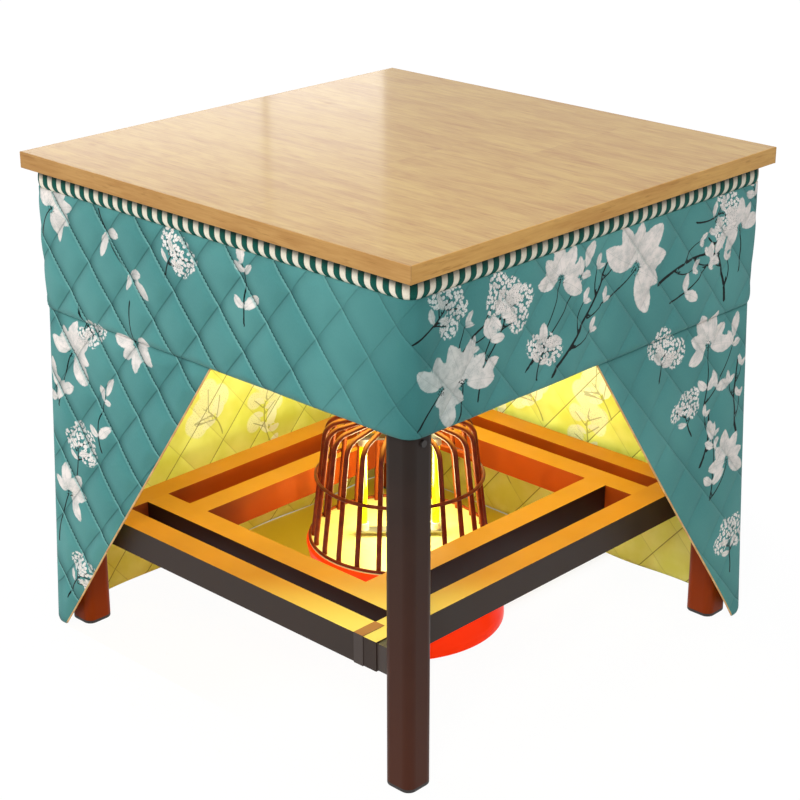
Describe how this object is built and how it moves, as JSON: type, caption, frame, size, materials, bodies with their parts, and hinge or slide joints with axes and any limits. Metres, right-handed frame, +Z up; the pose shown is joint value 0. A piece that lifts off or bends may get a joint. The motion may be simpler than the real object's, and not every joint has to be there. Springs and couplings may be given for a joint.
{
  "type": "heated table with quilted cover",
  "caption": "Square heated table with a wood top, a quilted cloth cover drawn back at one corner, a slatted footrest and a domed cage heater on the floor inside.",
  "frame": {"origin": "on the floor under the table's centre, level with the undersides of the feet", "axes": "+Z up, +X and -Y towards the two sides that meet at the open front corner, X along the footrest's long bars"},
  "size_m": [0.8, 0.8, 0.78],
  "materials": {
    "leg_steel": "satin dark brown",
    "foot_plastic": "matt",
    "bolt_steel": "plated",
    "rest_steel": "satin dark brown",
    "connector_plastic": "matt",
    "strap_steel": "satin dark brown",
    "top_wood": "satin, pale straight grain",
    "edge_wood": "satin",
    "cover_cloth": "quilted, woven",
    "piping_cloth": "green and cream stripes",
    "binding_cloth": "woven",
    "base_enamel": "gloss",
    "plate_steel": "bright",
    "rubber_feet": "matt",
    "cage_steel": "copper brown plating",
    "quartz": "clear, glowing",
    "ceramic": "matt, white",
    "switch_plastic": "matt black"
  },
  "bodies": {
    "table": {"leg_front": "leg_steel", "leg_right": "leg_steel", "leg_back": "leg_steel", "leg_left": "leg_steel", "feet": "foot_plastic", "leg_bolt": "bolt_steel", "apron_front_left": "leg_steel", "apron_front_right": "leg_steel", "apron_back_right": "leg_steel", "apron_back_left": "leg_steel", "corner_plates": "leg_steel", "rest_outer_front_left": "rest_steel", "rest_outer_front_right": "rest_steel", "rest_outer_back_right": "rest_steel", "rest_outer_back_left": "rest_steel", "rest_inner_front_left": "rest_steel", "rest_inner_front_right": "rest_steel", "rest_inner_back_right": "rest_steel", "rest_inner_back_left": "rest_steel", "rest_connectors": "connector_plastic", "rest_screws": "bolt_steel", "rest_straps": "strap_steel", "cover_top_sheet": "cover_cloth", "cover_piping": "piping_cloth", "cover_valance": "cover_cloth", "skirt_header": "cover_cloth"},
    "tabletop": {"tabletop_board": "top_wood", "edge_band_front_left": "edge_wood", "edge_band_front_right": "edge_wood", "edge_band_back_right": "edge_wood", "edge_band_back_left": "edge_wood"},
    "panel_front_left": {"skirt_front_left": "cover_cloth", "binding_front_left": "binding_cloth"},
    "panel_front_right": {"skirt_front_right": "cover_cloth", "binding_front_right": "binding_cloth"},
    "panel_back_right": {"skirt_back_right": "cover_cloth"},
    "panel_back_left": {"skirt_back_left": "cover_cloth"},
    "heater": {"base_shell": "base_enamel", "switch_bezel": "base_enamel", "base_plate": "plate_steel", "deck": "plate_steel", "base_feet": "rubber_feet", "cage_wires": "cage_steel", "cage_foot_ring": "cage_steel", "cage_middle_ring": "cage_steel", "cage_hub": "cage_steel", "centre_post": "cage_steel", "tube_holder_lower": "cage_steel", "tube_holder_upper": "cage_steel", "heating_tube_1": "quartz", "heating_tube_2": "quartz", "heating_tube_3": "quartz", "heating_tube_4": "quartz", "tube_caps": "ceramic", "rotary_switch": "switch_plastic", "tip_switch": "switch_plastic", "cord_gland": "switch_plastic"},
    "knob": {"switch_knob": "switch_plastic"},
    "plunger": {"tip_plunger": "switch_plastic"}
  },
  "joints": [
    {"name": "tabletop_lift", "type": "slide", "parent": "table", "child": "tabletop", "axis": [0, 0, 1], "range_m": [0, 0.15]},
    {"name": "front_left_panel", "type": "hinge", "parent": "table", "child": "panel_front_left", "pos_m": [0, -0.3862, 0.5362], "axis": [-1, 0, 0], "range_deg": [0, 80]},
    {"name": "front_right_panel", "type": "hinge", "parent": "table", "child": "panel_front_right", "pos_m": [0.3862, 0, 0.5362], "axis": [0, -1, 0], "range_deg": [0, 80]},
    {"name": "back_right_panel", "type": "hinge", "parent": "table", "child": "panel_back_right", "pos_m": [0, 0.3862, 0.5362], "axis": [1, 0, 0], "range_deg": [0, 80]},
    {"name": "back_left_panel", "type": "hinge", "parent": "table", "child": "panel_back_left", "pos_m": [-0.3862, 0, 0.5362], "axis": [0, 1, 0], "range_deg": [0, 80]},
    {"name": "heater_lift", "type": "slide", "parent": "table", "child": "heater", "axis": [0, 0, 1], "range_m": [0, 0.23]},
    {"name": "knob_turn", "type": "hinge", "parent": "heater", "child": "knob", "pos_m": [0, 0.156, 0.112], "axis": [0, 1, 0], "range_deg": [0, 270]},
    {"name": "plunger_travel", "type": "slide", "parent": "heater", "child": "plunger", "axis": [0, 0, 1], "range_m": [-0.003, 0], "stiffness_N_per_m": 60, "springref_m": -0.006}
  ]
}
